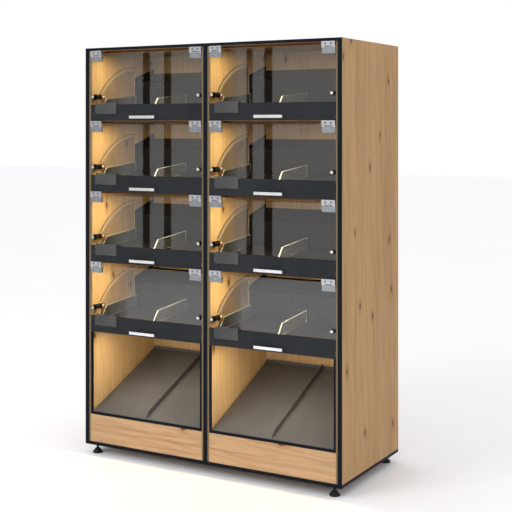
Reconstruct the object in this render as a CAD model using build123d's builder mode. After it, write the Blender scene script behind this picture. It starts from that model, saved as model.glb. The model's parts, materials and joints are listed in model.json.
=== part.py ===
from build123d import *
import os

os.makedirs("parts", exist_ok=True)

# Driving dimensions, in millimetres. +X is to the right, +Y is to the back and +Z is up.
# The origin is on the floor, at the middle of the whole unit.

# Carcass
width = 1400.0
depth = 635.0
foot_height = 45.0
rows = 4
row_pitch = 346.0
base_rail = 15.0
plinth_height = 135.0
lip_height = 13.0
bag_bay_height = 394.0
top_rail = 14.0

# Boards
side_board = 20.0
partition_board = 20.0
lining_board = 10.0
shelf_board = 20.0
shelf_setback = 20.0
deck_board = 20.0
plinth_board = 16.0
board_joint = 0.2
rear_board = 12.0
back_panel_thickness = 8.0
service_void = 70.0

# Black steel frame
post_width = 20.0
frame_plate = 4.0
base_tube_width = 20.0

# Flap
flap_side_gap = 1.5
flap_bottom_gap = 1.0
pane_thickness = 5.0
pane_setback = 9.0
pane_rise = 9.0
pane_hinge_gap = 3.0
fascia_height = 81.0
fascia_sheet = 2.0
fascia_setback = 2.0
fascia_hook = 9.0

# Flap handle
handle_length = 146.0
handle_height = 18.0
handle_thickness = 5.0
handle_reach = 23.0
handle_level = 17.0
handle_post_width = 8.0
handle_post_height = 10.0
handle_post_spacing = 100.0

# Price-card pocket
pocket_length = 125.0
pocket_height = 56.0
pocket_level = 35.0
pocket_inset = 34.0
pocket_wall = 2.0
pocket_slot = 2.0
pocket_front_step = 7.0

# Flap hinge
hinge_length = 65.0
hinge_edge_inset = 1.0
leaf_height = 21.0
leaf_thickness = 6.0
wing_sheet = 3.0
wing_reach = 46.0
barrel_radius = 4.5
knuckle_length = 13.0
knuckle_gap = 0.6
pin_radius = 2.5
pin_clearance = 0.05
clamp_height = 28.0
clamp_front = 5.5
clamp_rear = 2.0
clamp_bridge = 2.7
clamp_barrel_gap = 0.8

# Flap buffer
buffer_inset = 17.0
buffer_level = 120.0
knob_radius = 8.5
knob_length = 17.5
knob_face_radius = 4.5
knob_collar_radius = 5.0
knob_bevel = 4.5
neck_size = 6.0
sleeve_radius = 13.5
sleeve_length = 64.0
cap_radius = 6.5
cap_length = 8.0
rest_gap = 0.3

# Buffer bracket
bracket_sheet = 2.0
bracket_width = 24.0
bracket_drop = 42.0
bracket_flange = 26.0
bracket_above = 9.0

# Clear side cheek
cheek_thickness = 4.0
cheek_radius = 373.0
cheek_top = 282.0
cheek_past_tray = 2.0
cheek_front = 74.0
cheek_notch = 92.0
cheek_notch_level = 137.0

# Front tray
tray_sheet = 2.0
tray_side_gap = 1.0
tray_front = 60.0
tray_rear = 367.0
tray_floor_front = 48.0
tray_floor_rear = 80.0
tray_lip = 22.0
tray_side_front = 62.0
tray_shoulder = 116.0
tray_shoulder_level = 108.0
tray_side_rear = 131.0

# Clear tray divider
divider_thickness = 7.0
divider_front_inset = 6.0
divider_top_rise = 5.0

# Rear tray
riser_gap = 4.0
riser_rear_gap = 2.0
riser_floor_front = 205.0
riser_floor_rear = 257.0
riser_side_front = 227.0
riser_side_rear = 280.0
riser_back_level = 298.0
riser_foot = 14.0

# Bag shelf
bag_shelf_sheet = 2.0
bag_shelf_rear_gap = 13.0
bag_shelf_rear_rise = 219.0
bag_rear_rim = 14.0
bag_front_lip = 2.0
bag_fin_height = 24.0
bag_fin_thickness = 4.0
bay_trim_sheet = 4.0
bay_trim_width = 11.0
bay_trim_depth = 19.0

# Light strips
strip_width = 18.0
strip_height = 9.0
strip_setback = 52.0
strip_end_gap = 12.0
strip_slot = 11.0
strip_slot_depth = 2.0

# Power supply for the lights, and its mains inlet
driver_length = 190.0
driver_depth = 42.0
driver_height = 58.0
driver_level = 70.0
driver_corner = 4.0
inlet_width = 34.0
inlet_height = 26.0
inlet_reach = 24.0
inlet_flange = 6.0
inlet_flange_thickness = 3.0
inlet_offset = 110.0
inlet_mouth_width = 26.0
inlet_mouth_height = 18.0
inlet_mouth_depth = 16.0
inlet_mouth_corner = 3.0
inlet_pin_width = 2.0
inlet_pin_height = 5.0
inlet_pin_length = 13.0
inlet_pin_spacing = 7.0

# Levelling feet
foot_inset_x = 50.0
foot_inset_front = 34.0
foot_inset_rear = 42.0
foot_pad_radius = 24.0
foot_pad_rim = 6.0
foot_cone_height = 24.0
foot_neck_radius = 9.0
foot_stem_radius = 6.0
foot_stem_top = 48.0
foot_plate_width = 84.0
foot_plate_length = 110.0
foot_plate_thickness = 4.0
foot_nut_radius = 11.0
foot_nut_height = 10.0
foot_tab_width = 20.0
foot_tab_drop = 22.0
foot_clearance = 0.05

# Levels and places that follow from the driving dimensions
front_y = (handle_reach - depth) / 2
base_z = foot_height
plinth_bottom = base_z + base_rail
plinth_top = plinth_bottom + plinth_height
bay_floor = plinth_top + lip_height
bay_top = bay_floor + bag_bay_height
row_top = bay_top + rows * row_pitch
top_z = row_top + top_rail
half_width = width / 2
half_partition = partition_board / 2
board_front = frame_plate
rear_inner = depth - back_panel_thickness - service_void
rear_face = rear_inner - rear_board
cheek_rear = tray_rear + cheek_past_tray
riser_front = tray_rear + riser_gap
riser_rear = rear_face - riser_rear_gap
bag_shelf_front = board_front + bay_trim_sheet
bag_shelf_rear = rear_face - bag_shelf_rear_gap


def at(distance):
    """The Y of a point this far behind the front of the posts."""
    return front_y + distance


def floor_of(row):
    """The lower edge of a row, which is the ceiling of the one below; row 1 is the highest."""
    return bay_top + (rows - row) * row_pitch


def shelf_of(row):
    """The top of the shelf that carries a row. Its front edge hides behind the flap."""
    return floor_of(row) + shelf_board


# Each column lies between two boards, and its bay between the linings on them.
column_bounds = [
    ("left", -half_width + side_board, -half_partition),
    ("right", half_partition, half_width - side_board),
]
row_numbers = range(1, rows + 1)
bays = [(name, left + lining_board, right - lining_board) for name, left, right in column_bounds]


def save(piece, node):
    piece.label = node
    export_step(piece, f"parts/{node}.step")


def block(low_x, high_x, near, far, low_z, high_z):
    """A rectangular board between two X values, two depths and two levels."""
    with BuildSketch(Plane.XY.offset(low_z)) as outline:
        with Locations(((low_x + high_x) / 2, at((near + far) / 2))):
            Rectangle(high_x - low_x, far - near)
    extrude(outline.sketch, amount=high_z - low_z)


def side_profile(points, low_x, high_x):
    """A plate along X whose outline is given as depth and level pairs."""
    with BuildSketch(Plane.YZ.offset(low_x)) as outline:
        with BuildLine():
            Polyline([(at(y), z) for y, z in points], close=True)
        make_face()
    extrude(outline.sketch, amount=high_x - low_x)


# Steel base frame: a welded rectangle of tube with a member under the partition
with BuildPart() as base_frame:
    block(-half_width, half_width, 0, depth, base_z, plinth_bottom)
    opening_width = half_width - 1.5 * base_tube_width
    with BuildSketch(Plane.XY.offset(base_z)) as outline:
        with Locations((0, at(depth / 2))):
            with GridLocations(opening_width + base_tube_width, 1, 2, 1):
                Rectangle(opening_width, depth - 2 * base_tube_width)
    extrude(outline.sketch, amount=base_rail, mode=Mode.SUBTRACT)
save(base_frame.part, "base_frame")

# Steel front frame: three flat posts and a top rail over the edges of the boards
with BuildPart() as front_frame:
    post_centres = (-half_width + post_width / 2, 0, half_width - post_width / 2)
    for centre in post_centres:
        block(centre - post_width / 2, centre + post_width / 2, 0, frame_plate, plinth_bottom, top_z)
    block(-half_width, half_width, 0, frame_plate, row_top, top_z)
save(front_frame.part, "front_frame")

# Oak boards of the carcass
with BuildPart() as side_panel_left:
    block(-half_width, -half_width + side_board, board_front, depth, plinth_bottom, top_z)
save(side_panel_left.part, "side_panel_left")

with BuildPart() as side_panel_right:
    block(half_width - side_board, half_width, board_front, depth, plinth_bottom, top_z)
save(side_panel_right.part, "side_panel_right")

with BuildPart() as middle_partition:
    block(-half_partition, half_partition, board_front, rear_face, plinth_bottom, row_top)
save(middle_partition.part, "middle_partition")

with BuildPart() as linings:
    for _, left, right in column_bounds:
        block(left, left + lining_board, board_front, rear_face, plinth_bottom, row_top)
        block(right - lining_board, right, board_front, rear_face, plinth_bottom, row_top)
save(linings.part, "linings")

with BuildPart() as rear_lining:
    block(-half_width + side_board, half_width - side_board, rear_face, rear_inner,
          plinth_bottom, row_top)
save(rear_lining.part, "rear_lining")

inlet_x = half_width - side_board - inlet_offset
inlet_z = plinth_top + driver_level + driver_height / 2
panel_inner = depth - back_panel_thickness
with BuildPart() as back_panel:
    block(-half_width + side_board, half_width - side_board, panel_inner, depth,
          plinth_bottom, row_top)
    with BuildSketch(Plane.XZ.offset(-at(depth))) as outline:
        with Locations((inlet_x, inlet_z)):
            Rectangle(inlet_width, inlet_height)
    extrude(outline.sketch, amount=back_panel_thickness, mode=Mode.SUBTRACT)
save(back_panel.part, "back_panel")

with BuildPart() as top_board:
    block(-half_width + side_board, half_width - side_board, board_front, depth, row_top, top_z)
save(top_board.part, "top_board")

plinth_back = board_front + plinth_board
with BuildPart() as plinth_boards:
    for _, bay_left, bay_right in bays:
        block(bay_left, bay_right, board_front, plinth_back, plinth_bottom, plinth_top)
        block(bay_left, bay_right, plinth_back + board_joint, rear_face, plinth_top - deck_board, plinth_top)
save(plinth_boards.part, "plinth_boards")

with BuildPart() as shelves:
    for row in row_numbers:
        for _, bay_left, bay_right in bays:
            block(bay_left, bay_right, shelf_setback, rear_face, floor_of(row), shelf_of(row))
save(shelves.part, "shelves")


tray_inset = cheek_thickness + bracket_sheet + tray_side_gap
tray_slope = (tray_floor_rear - tray_floor_front) / (tray_rear - tray_front - 2 * tray_sheet)


def floor_at(distance):
    """The level of a front tray's floor in its row, this far behind the posts."""
    return tray_floor_front + tray_sheet + tray_slope * (distance - tray_front - tray_sheet)


# Front trays: a folded sheet with an inclined floor, a front lip and sides cut back at the front
def front_tray(bay_left, bay_right, row):
    floor_z = floor_of(row)
    outer_left = bay_left + tray_inset
    outer_right = bay_right - tray_inset
    floor = [
        (tray_front, floor_z + tray_floor_front + tray_lip),
        (tray_front, floor_z + tray_floor_front),
        (tray_rear, floor_z + tray_floor_rear),
        (tray_rear, floor_z + tray_side_rear),
        (tray_rear - tray_sheet, floor_z + tray_side_rear),
        (tray_rear - tray_sheet, floor_z + tray_floor_rear + tray_sheet),
        (tray_front + tray_sheet, floor_z + tray_floor_front + tray_sheet),
        (tray_front + tray_sheet, floor_z + tray_floor_front + tray_lip),
    ]
    side_profile(floor, outer_left, outer_right)
    cheek = [
        (tray_front, floor_z + tray_floor_front),
        (tray_rear, floor_z + tray_floor_rear),
        (tray_rear, floor_z + tray_side_rear),
        (tray_shoulder, floor_z + tray_shoulder_level),
        (tray_front, floor_z + tray_side_front),
    ]
    side_profile(cheek, outer_left, outer_left + tray_sheet)
    side_profile(cheek, outer_right - tray_sheet, outer_right)
    runner = [
        (tray_shoulder, shelf_of(row)),
        (tray_rear, shelf_of(row)),
        (tray_rear, floor_z + tray_floor_rear),
        (tray_shoulder, floor_z + floor_at(tray_shoulder)),
    ]
    side_profile(runner, outer_left, outer_left + tray_sheet)
    side_profile(runner, outer_right - tray_sheet, outer_right)


with BuildPart() as front_trays:
    for row in row_numbers:
        for _, bay_left, bay_right in bays:
            front_tray(bay_left, bay_right, row)
save(front_trays.part, "front_trays")


# Clear dividers that stand on the tray floor, at both ends and in the middle
divider_front = tray_front + tray_sheet + divider_front_inset
divider_rear = tray_rear - tray_sheet
with BuildPart() as tray_dividers:
    for row in row_numbers:
        base = floor_of(row)
        for _, bay_left, bay_right in bays:
            end = tray_inset + tray_sheet
            places = (bay_left + end, (bay_left + bay_right - divider_thickness) / 2,
                      bay_right - end - divider_thickness)
            outline = [
                (divider_front, base + floor_at(divider_front)),
                (divider_rear, base + floor_at(divider_rear)),
                (divider_rear, base + tray_side_rear + divider_top_rise),
                (tray_shoulder, base + tray_shoulder_level + divider_top_rise),
            ]
            for place in places:
                side_profile(outline, place, place + divider_thickness)
save(tray_dividers.part, "tray_dividers")


# Rear trays: a riser box with an inclined tray on top
def rear_tray(bay_left, bay_right, row):
    floor_z = floor_of(row)
    shelf_z = shelf_of(row)
    outer_left = bay_left + tray_side_gap
    outer_right = bay_right - tray_side_gap
    sheet = [
        (riser_front, shelf_z),
        (riser_front, floor_z + riser_floor_front),
        (riser_rear, floor_z + riser_floor_rear),
        (riser_rear, floor_z + riser_back_level),
        (riser_rear - tray_sheet, floor_z + riser_back_level),
        (riser_rear - tray_sheet, floor_z + riser_floor_rear - tray_sheet),
        (riser_front + tray_sheet, floor_z + riser_floor_front - tray_sheet),
        (riser_front + tray_sheet, shelf_z + tray_sheet),
        (riser_front + riser_foot, shelf_z + tray_sheet),
        (riser_front + riser_foot, shelf_z),
    ]
    side_profile(sheet, outer_left, outer_right)
    cheek = [
        (riser_front, shelf_z),
        (riser_rear, shelf_z),
        (riser_rear, floor_z + riser_side_rear),
        (riser_front, floor_z + riser_side_front),
    ]
    side_profile(cheek, outer_left, outer_left + tray_sheet)
    side_profile(cheek, outer_right - tray_sheet, outer_right)


with BuildPart() as rear_trays:
    for row in row_numbers:
        for _, bay_left, bay_right in bays:
            rear_tray(bay_left, bay_right, row)
save(rear_trays.part, "rear_trays")

# Clear side cheeks: each closes the side of a compartment behind a curved front edge
cheek_middle = (cheek_front + cheek_rear) / 2


def cheek_edge(distance):
    """The level of the curved edge in its row: an arc that is level at the back."""
    return cheek_top - cheek_radius + (cheek_radius**2 - (cheek_rear - distance) ** 2) ** 0.5


def cheek_plate(low_x, row):
    floor_z = floor_of(row)
    with BuildSketch(Plane.YZ.offset(low_x)) as outline:
        with BuildLine():
            Polyline(
                (at(cheek_front), floor_z + cheek_edge(cheek_front)),
                (at(cheek_notch), floor_z + cheek_notch_level),
                (at(cheek_notch), shelf_of(row)),
                (at(cheek_rear), shelf_of(row)),
                (at(cheek_rear), floor_z + cheek_top),
            )
            ThreePointArc(
                (at(cheek_rear), floor_z + cheek_top),
                (at(cheek_middle), floor_z + cheek_edge(cheek_middle)),
                (at(cheek_front), floor_z + cheek_edge(cheek_front)),
            )
        make_face()
    extrude(outline.sketch, amount=cheek_thickness)


with BuildPart() as side_cheeks:
    for row in row_numbers:
        for _, bay_left, bay_right in bays:
            cheek_plate(bay_left, row)
            cheek_plate(bay_right - cheek_thickness, row)
save(side_cheeks.part, "side_cheeks")

# Brackets that the closed flap's buffers rest against
bracket_front = pane_setback + pane_thickness + sleeve_length + cap_length + rest_gap
with BuildPart() as buffer_brackets:
    for row in row_numbers:
        high_z = floor_of(row) + buffer_level + bracket_above
        low_z = high_z - bracket_drop
        for _, bay_left, bay_right in bays:
            for face, side in ((bay_left + cheek_thickness, 1), (bay_right - cheek_thickness, -1)):
                with BuildSketch(Plane.XY.offset(low_z)) as outline:
                    with BuildLine():
                        Polyline(
                            (face, at(bracket_front)),
                            (face + side * bracket_width, at(bracket_front)),
                            (face + side * bracket_width, at(bracket_front + bracket_sheet)),
                            (face + side * bracket_sheet, at(bracket_front + bracket_sheet)),
                            (face + side * bracket_sheet, at(bracket_front + bracket_flange)),
                            (face, at(bracket_front + bracket_flange)),
                            close=True,
                        )
                    make_face()
                extrude(outline.sketch, amount=high_z - low_z)
save(buffer_brackets.part, "buffer_brackets")

# Bag shelf: an inclined sheet with a low fin that parts two stacks
bag_rise = bag_shelf_rear_rise / (bag_shelf_rear - bag_shelf_front)
bag_fin_front = bag_shelf_front + bag_shelf_sheet + bag_fin_height
with BuildPart() as bag_shelves:
    for _, bay_left, bay_right in bays:
        sheet = [
            (bag_shelf_front, plinth_top),
            (bag_shelf_front, bay_floor + bag_front_lip),
            (bag_shelf_front + bag_shelf_sheet, bay_floor + bag_front_lip),
            (bag_shelf_front + bag_shelf_sheet, bay_floor),
            (bag_shelf_rear - bag_shelf_sheet, bay_floor + bag_shelf_rear_rise),
            (bag_shelf_rear - bag_shelf_sheet, bay_floor + bag_shelf_rear_rise + bag_rear_rim),
            (bag_shelf_rear, bay_floor + bag_shelf_rear_rise + bag_rear_rim),
            (bag_shelf_rear, plinth_top),
            (bag_shelf_rear - bag_shelf_sheet, plinth_top),
            (bag_shelf_rear - bag_shelf_sheet, bay_floor + bag_shelf_rear_rise - 2 * bag_shelf_sheet),
            (bag_shelf_front + bag_shelf_sheet, bay_floor - 2 * bag_shelf_sheet),
            (bag_shelf_front + bag_shelf_sheet, plinth_top),
        ]
        side_profile(sheet, bay_left + bay_trim_width, bay_right - bay_trim_width)
        middle = (bay_left + bay_right) / 2
        fin = [
            (bag_shelf_front + bag_shelf_sheet, bay_floor - bag_shelf_sheet),
            (bag_shelf_front + bag_shelf_sheet, bay_floor + bag_front_lip),
            (bag_fin_front, bay_floor + bag_fin_height * (1 + bag_rise)),
            (bag_shelf_rear - bag_shelf_sheet, bay_floor + bag_shelf_rear_rise + bag_fin_height),
            (bag_shelf_rear - bag_shelf_sheet, bay_floor + bag_shelf_rear_rise - bag_shelf_sheet),
        ]
        side_profile(fin, middle - bag_fin_thickness / 2, middle + bag_fin_thickness / 2)
save(bag_shelves.part, "bag_shelves")

# Black trim round each bag bay: an angle down both sides and a lip over the plinth
with BuildPart() as bay_trims:
    for _, bay_left, bay_right in bays:
        trim_far = board_front + bay_trim_depth
        block(bay_left, bay_right, board_front, bag_shelf_front, plinth_top, bay_floor)
        for inner, outer in ((bay_left, bay_left + bay_trim_width), (bay_right - bay_trim_width, bay_right)):
            block(inner, outer, board_front, bag_shelf_front, plinth_top, bay_top)
        block(bay_left, bay_left + frame_plate, board_front, trim_far, plinth_top, bay_top)
        block(bay_right - frame_plate, bay_right, board_front, trim_far, plinth_top, bay_top)
save(bay_trims.part, "bay_trims")


# Light strips: a channel under the front of every ceiling
def light_strip(bay_left, bay_right, ceiling):
    strip_far = strip_setback + strip_width
    slot_near = strip_setback + (strip_width - strip_slot) / 2
    channel = [
        (strip_setback, ceiling),
        (strip_setback, ceiling - strip_height),
        (slot_near, ceiling - strip_height),
        (slot_near, ceiling - strip_height + strip_slot_depth),
        (slot_near + strip_slot, ceiling - strip_height + strip_slot_depth),
        (slot_near + strip_slot, ceiling - strip_height),
        (strip_far, ceiling - strip_height),
        (strip_far, ceiling),
    ]
    side_profile(channel, bay_left + strip_end_gap, bay_right - strip_end_gap)


ceilings = [floor_of(row) for row in row_numbers] + [row_top]
with BuildPart() as light_strips:
    for ceiling in ceilings:
        for _, bay_left, bay_right in bays:
            light_strip(bay_left, bay_right, ceiling)
save(light_strips.part, "light_strips")

# Power supply for the lights, in the void at the back
with BuildPart() as power_supply:
    driver_low = plinth_top + driver_level
    block(-driver_length / 2, driver_length / 2, rear_inner, rear_inner + driver_depth,
          driver_low, driver_low + driver_height)
    fillet(power_supply.edges().filter_by(Axis.Z).sort_by(Axis.Y)[-2:], radius=driver_corner)
save(power_supply.part, "power_supply")

# Mains inlet: a socket through the back panel, flush with it, with three pins in its mouth
with BuildPart() as power_inlet:
    inlet_front = depth - inlet_reach
    block(inlet_x - inlet_width / 2, inlet_x + inlet_width / 2, inlet_front, depth,
          inlet_z - inlet_height / 2, inlet_z + inlet_height / 2)
    block(inlet_x - inlet_width / 2 - inlet_flange, inlet_x + inlet_width / 2 + inlet_flange,
          panel_inner - inlet_flange_thickness, panel_inner,
          inlet_z - inlet_height / 2 - inlet_flange, inlet_z + inlet_height / 2 + inlet_flange)
    with BuildSketch(Plane.XZ.offset(-at(depth))) as outline:
        with Locations((inlet_x, inlet_z)):
            RectangleRounded(inlet_mouth_width, inlet_mouth_height, inlet_mouth_corner)
    extrude(outline.sketch, amount=inlet_mouth_depth, mode=Mode.SUBTRACT)
    with BuildSketch(Plane.XZ.offset(-at(depth - inlet_mouth_depth))) as outline:
        with Locations((inlet_x, inlet_z)):
            with GridLocations(inlet_pin_spacing, 1, 3, 1):
                Rectangle(inlet_pin_width, inlet_pin_height)
    extrude(outline.sketch, amount=-inlet_pin_length)
save(power_inlet.part, "power_inlet")


# Hinge leaves: an angle plate under the front of a ceiling, with two knuckles
def hinge_places(bay_left, bay_right):
    inset = flap_side_gap + hinge_edge_inset
    return (bay_left + inset, bay_right - inset - hinge_length)


hinge_axis_y = barrel_radius
hinge_drop = leaf_height + barrel_radius


def axis_of(row):
    """The level of the hinge axis of a row's flaps."""
    return floor_of(row) + row_pitch - hinge_drop


def fixed_leaf(low_x, row):
    axis_z = axis_of(row)
    ceiling = floor_of(row) + row_pitch
    plate_low = axis_z + barrel_radius
    near = board_front - leaf_thickness
    side_profile(
        [(near, plate_low), (near, ceiling), (wing_reach, ceiling), (wing_reach, ceiling - wing_sheet),
         (board_front, ceiling - wing_sheet), (board_front, plate_low)],
        low_x, low_x + hinge_length,
    )
    for start in (low_x, low_x + hinge_length - knuckle_length):
        with BuildSketch(Plane.YZ.offset(start)) as outline:
            with Locations((at(hinge_axis_y), axis_z)):
                Circle(barrel_radius)
            with BuildLine():
                Polyline((at(0), axis_z), (at(0), plate_low), (at(board_front), plate_low),
                         (at(board_front), axis_z), close=True)
            make_face()
        extrude(outline.sketch, amount=knuckle_length)


with BuildPart() as hinge_leaves:
    for row in row_numbers:
        for _, bay_left, bay_right in bays:
            for low_x in hinge_places(bay_left, bay_right):
                fixed_leaf(low_x, row)
save(hinge_leaves.part, "hinge_leaves")

# Hinge pins, held between the two knuckles of each leaf
pin_length = hinge_length - 2 * knuckle_length
with BuildPart() as hinge_pins:
    for row in row_numbers:
        for _, bay_left, bay_right in bays:
            for low_x in hinge_places(bay_left, bay_right):
                with BuildSketch(Plane.YZ.offset(low_x + knuckle_length)) as outline:
                    with Locations((at(hinge_axis_y), axis_of(row))):
                        Circle(pin_radius)
                extrude(outline.sketch, amount=pin_length)
save(hinge_pins.part, "hinge_pins")


# Flaps: a clear pane in a dark fascia, with its pocket, handle, clamps and buffers
pane_top_drop = barrel_radius + clamp_barrel_gap + clamp_bridge


def make_pane(bay_left, bay_right, row):
    low_x = bay_left + flap_side_gap
    high_x = bay_right - flap_side_gap
    low_z = floor_of(row) + flap_bottom_gap + fascia_sheet
    clamp_seat = axis_of(row) - pane_top_drop
    pane_back = pane_setback + pane_thickness
    block(low_x, high_x, pane_setback, pane_back, low_z, clamp_seat)
    first_hinge, last_hinge = hinge_places(bay_left, bay_right)
    block(first_hinge + hinge_length + pane_hinge_gap, last_hinge - pane_hinge_gap, pane_setback, pane_back,
          clamp_seat, axis_of(row) + pane_rise)
    with BuildSketch(Plane.XZ.offset(-at(pane_setback))) as outline:
        with Locations((bay_left + buffer_inset, floor_of(row) + buffer_level),
                       (bay_right - buffer_inset, floor_of(row) + buffer_level)):
            Rectangle(neck_size, neck_size)
    extrude(outline.sketch, amount=-pane_thickness, mode=Mode.SUBTRACT)


def make_pocket(bay_left, row):
    low_z = floor_of(row) + pocket_level
    back = fascia_setback
    slot_back = back - pocket_wall
    slot_front = slot_back - pocket_slot
    front = slot_front - pocket_wall
    front_top = low_z + pocket_height - pocket_front_step
    profile = [
        (front, low_z), (back, low_z), (back, low_z + pocket_height), (slot_back, low_z + pocket_height),
        (slot_back, low_z + pocket_wall), (slot_front, low_z + pocket_wall),
        (slot_front, front_top), (front, front_top),
    ]
    side_profile(profile, bay_left + pocket_inset, bay_left + pocket_inset + pocket_length)


def make_fascia(bay_left, bay_right, row):
    low_z = floor_of(row) + flap_bottom_gap
    high_z = low_z + fascia_height
    inner = fascia_setback + fascia_sheet
    hook_near = pane_setback + pane_thickness
    profile = [
        (fascia_setback, low_z), (hook_near + fascia_sheet, low_z),
        (hook_near + fascia_sheet, low_z + fascia_hook), (hook_near, low_z + fascia_hook),
        (hook_near, low_z + fascia_sheet), (inner, low_z + fascia_sheet),
        (inner, high_z - fascia_sheet), (pane_setback, high_z - fascia_sheet),
        (pane_setback, high_z), (fascia_setback, high_z),
    ]
    side_profile(profile, bay_left + flap_side_gap, bay_right - flap_side_gap)


def make_clamp(low_x, row):
    axis_z = axis_of(row)
    near = pane_setback - clamp_front
    far = pane_setback + pane_thickness + clamp_rear
    top = axis_z - barrel_radius - clamp_barrel_gap
    low = axis_z - clamp_height
    profile = [
        (near, low), (pane_setback, low), (pane_setback, top - clamp_bridge),
        (far - clamp_rear, top - clamp_bridge), (far - clamp_rear, low), (far, low), (far, top), (near, top),
    ]
    side_profile(profile, low_x, low_x + hinge_length)
    start = low_x + knuckle_length + knuckle_gap
    with BuildSketch(Plane.YZ.offset(start)) as outline:
        with Locations((at(hinge_axis_y), axis_z)):
            Circle(barrel_radius)
        with BuildLine():
            Polyline((at(near), top), (at(near), axis_z), (at(hinge_axis_y + barrel_radius), axis_z),
                     (at(hinge_axis_y + barrel_radius), top), close=True)
        make_face()
        with Locations((at(hinge_axis_y), axis_z)):
            Circle(pin_radius + pin_clearance, mode=Mode.SUBTRACT)
    extrude(outline.sketch, amount=hinge_length - 2 * (knuckle_length + knuckle_gap))


def make_handle(bay_left, bay_right, row):
    middle = (bay_left + bay_right) / 2
    level = floor_of(row) + handle_level
    bar_back = handle_thickness - handle_reach
    block(middle - handle_length / 2, middle + handle_length / 2, -handle_reach, bar_back,
          level - handle_height / 2, level + handle_height / 2)
    for side in (-1, 1):
        post_x = middle + side * handle_post_spacing / 2
        block(post_x - handle_post_width / 2, post_x + handle_post_width / 2, bar_back, fascia_setback,
              level - handle_post_height / 2, level + handle_post_height / 2)


sleeve_near = pane_setback + pane_thickness
sleeve_far = sleeve_near + sleeve_length


def make_buffer_metal(x, row):
    """A turned knob whose square neck passes through the pane, and a hexagonal cap behind the sleeve."""
    level = floor_of(row) + buffer_level
    knob_front = pane_setback - knob_length
    with BuildSketch(Plane((x, 0, level), x_dir=(0, 1, 0), z_dir=(1, 0, 0))) as outline:
        with BuildLine():
            Polyline((at(knob_front), 0), (at(knob_front), knob_face_radius),
                     (at(knob_front + knob_bevel), knob_radius), (at(pane_setback - knob_bevel), knob_radius),
                     (at(pane_setback), knob_collar_radius), (at(pane_setback), 0), close=True)
        make_face()
    revolve(outline.sketch, axis=Axis((x, 0, level), (0, 1, 0)))
    half_neck = neck_size / 2
    block(x - half_neck, x + half_neck, pane_setback, sleeve_near, level - half_neck, level + half_neck)
    with BuildSketch(Plane.XZ.offset(-at(sleeve_far))) as outline:
        with Locations((x, level)):
            RegularPolygon(cap_radius, side_count=6)
    extrude(outline.sketch, amount=-cap_length)


def make_buffer_sleeve(x, row):
    """A solid rubber cylinder between the pane and the cap."""
    with BuildSketch(Plane.XZ.offset(-at(sleeve_near))) as outline:
        with Locations((x, floor_of(row) + buffer_level)):
            Circle(sleeve_radius)
    extrude(outline.sketch, amount=-sleeve_length)


for row in row_numbers:
    for name, bay_left, bay_right in bays:
        flap = f"flap_{name}_{row}"

        with BuildPart() as glazing:
            make_pane(bay_left, bay_right, row)
            make_pocket(bay_left, row)
        save(glazing.part, f"{flap}_glazing")

        with BuildPart() as fascia:
            make_fascia(bay_left, bay_right, row)
        save(fascia.part, f"{flap}_fascia")

        with BuildPart() as fittings:
            make_handle(bay_left, bay_right, row)
            for low_x in hinge_places(bay_left, bay_right):
                make_clamp(low_x, row)
            for x in (bay_left + buffer_inset, bay_right - buffer_inset):
                make_buffer_metal(x, row)
        save(fittings.part, f"{flap}_fittings")

        with BuildPart() as buffers:
            for x in (bay_left + buffer_inset, bay_right - buffer_inset):
                make_buffer_sleeve(x, row)
        save(buffers.part, f"{flap}_buffers")

# Levelling feet: a coned pad on a threaded stem, and the steel corner plate that holds its nut
foot_places = [
    ("front_left", -1, foot_inset_front, 1),
    ("front_right", 1, foot_inset_front, 1),
    ("rear_left", -1, depth - foot_inset_rear, -1),
    ("rear_right", 1, depth - foot_inset_rear, -1),
]
for name, side, inset, _ in foot_places:
    foot_x = side * (half_width - foot_inset_x)
    with BuildPart() as foot:
        with BuildSketch(Plane((foot_x, at(inset), 0), x_dir=(1, 0, 0), z_dir=(0, -1, 0))) as outline:
            with BuildLine():
                Polyline((0, 0), (foot_pad_radius, 0), (foot_pad_radius, foot_pad_rim),
                         (foot_neck_radius, foot_cone_height), (foot_stem_radius, foot_cone_height),
                         (foot_stem_radius, foot_height + foot_stem_top), (0, foot_height + foot_stem_top),
                         close=True)
            make_face()
        revolve(outline.sketch, axis=Axis((foot_x, at(inset), 0), (0, 0, 1)))
    save(foot.part, f"foot_{name}")

with BuildPart() as foot_plates:
    for _, side, inset, inward in foot_places:
        foot_x = side * (half_width - foot_inset_x)
        outer_x = side * (half_width - base_tube_width / 2)
        inner_x = outer_x - side * foot_plate_width
        near = max(inset - foot_plate_length / 2, base_tube_width / 2)
        far = min(inset + foot_plate_length / 2, depth - base_tube_width / 2)
        block(min(outer_x, inner_x), max(outer_x, inner_x), near, far, base_z - foot_plate_thickness, base_z)
        tab_far = far if inward > 0 else near + foot_plate_thickness
        tab_top = base_z - foot_plate_thickness
        block(foot_x - foot_tab_width / 2, foot_x + foot_tab_width / 2, tab_far - foot_plate_thickness,
              tab_far, tab_top - foot_tab_drop, tab_top)
        with BuildSketch(Plane.XY.offset(base_z)) as outline:
            with Locations((foot_x, at(inset))):
                RegularPolygon(foot_nut_radius, side_count=6)
        extrude(outline.sketch, amount=foot_nut_height)
        with BuildSketch(Plane.XY.offset(tab_top)) as outline:
            with Locations((foot_x, at(inset))):
                Circle(foot_stem_radius + foot_clearance)
        extrude(outline.sketch, amount=foot_plate_thickness + foot_nut_height, mode=Mode.SUBTRACT)
save(foot_plates.part, "foot_plates")
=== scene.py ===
# %% [markdown]
# A bakery display unit: two columns of clear flaps over dark trays, clad in knotty oak.
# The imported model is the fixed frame, which gives every place and every size. This lesson adds the
# rounded edges, the finishes, the small fasteners and the light, and trues up a few small shapes.

# %% Load the frame
import json
import math

import bmesh
import bpy
from mathutils import Matrix, Vector

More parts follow.
